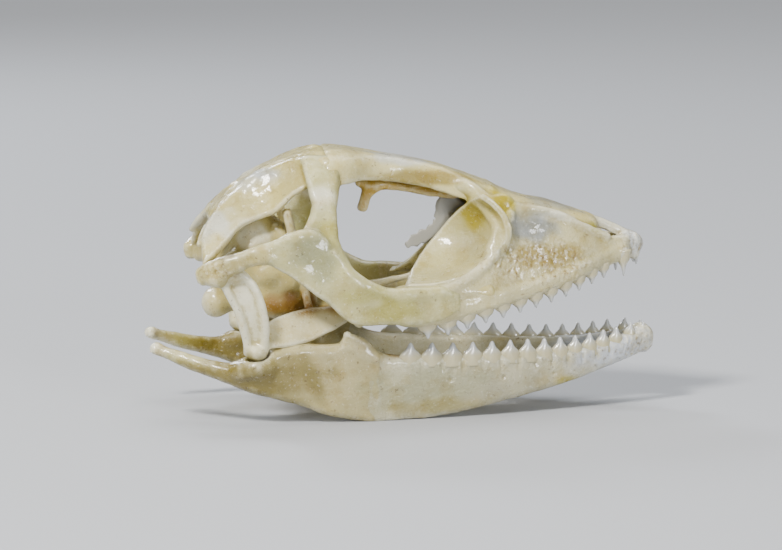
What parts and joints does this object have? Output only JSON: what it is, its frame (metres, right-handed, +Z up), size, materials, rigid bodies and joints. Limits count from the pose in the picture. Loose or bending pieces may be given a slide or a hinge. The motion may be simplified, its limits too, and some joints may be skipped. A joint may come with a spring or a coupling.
{
  "type": "lizard skull",
  "caption": "Life-size agamid lizard skull with parted jaws, saw-edged teeth, wide eye openings, slim cheek arches and long processes behind the jaw joint, resting on its lower jaw.",
  "frame": {"origin": "on the floor, under the middle of the skull's bounding box", "axes": "+X to the snout, +Y to the animal's left, +Z up"},
  "size_m": [0.028, 0.0138, 0.0144],
  "materials": {
    "bone": "ivory-coloured cleaned bone, waxy sheen",
    "tooth_bone": "pale bone with white teeth, glossy",
    "stained_bone": "bone stained yellow-brown, satin"
  },
  "bodies": {
    "root": {"frontal": "bone", "parietal": "bone", "nasals": "bone", "premaxilla": "tooth_bone", "braincase": "stained_bone", "vomer": "stained_bone", "orbitosphenoid": "stained_bone", "maxilla_left": "tooth_bone", "maxilla_right": "tooth_bone", "prefrontal_left": "bone", "prefrontal_right": "bone", "jugal_left": "bone", "jugal_right": "bone", "postorbital_left": "bone", "postorbital_right": "bone", "squamosal_left": "bone", "squamosal_right": "bone", "quadrate_left": "bone", "quadrate_right": "bone", "palatine_left": "stained_bone", "palatine_right": "stained_bone", "pterygoid_left": "stained_bone", "pterygoid_right": "stained_bone", "ectopterygoid_left": "stained_bone", "ectopterygoid_right": "stained_bone", "epipterygoid_left": "stained_bone", "epipterygoid_right": "stained_bone", "dentary_left": "tooth_bone", "dentary_right": "tooth_bone", "surangular_left": "bone", "surangular_right": "bone", "coronoid_left": "bone", "coronoid_right": "bone"}
  },
  "joints": []
}
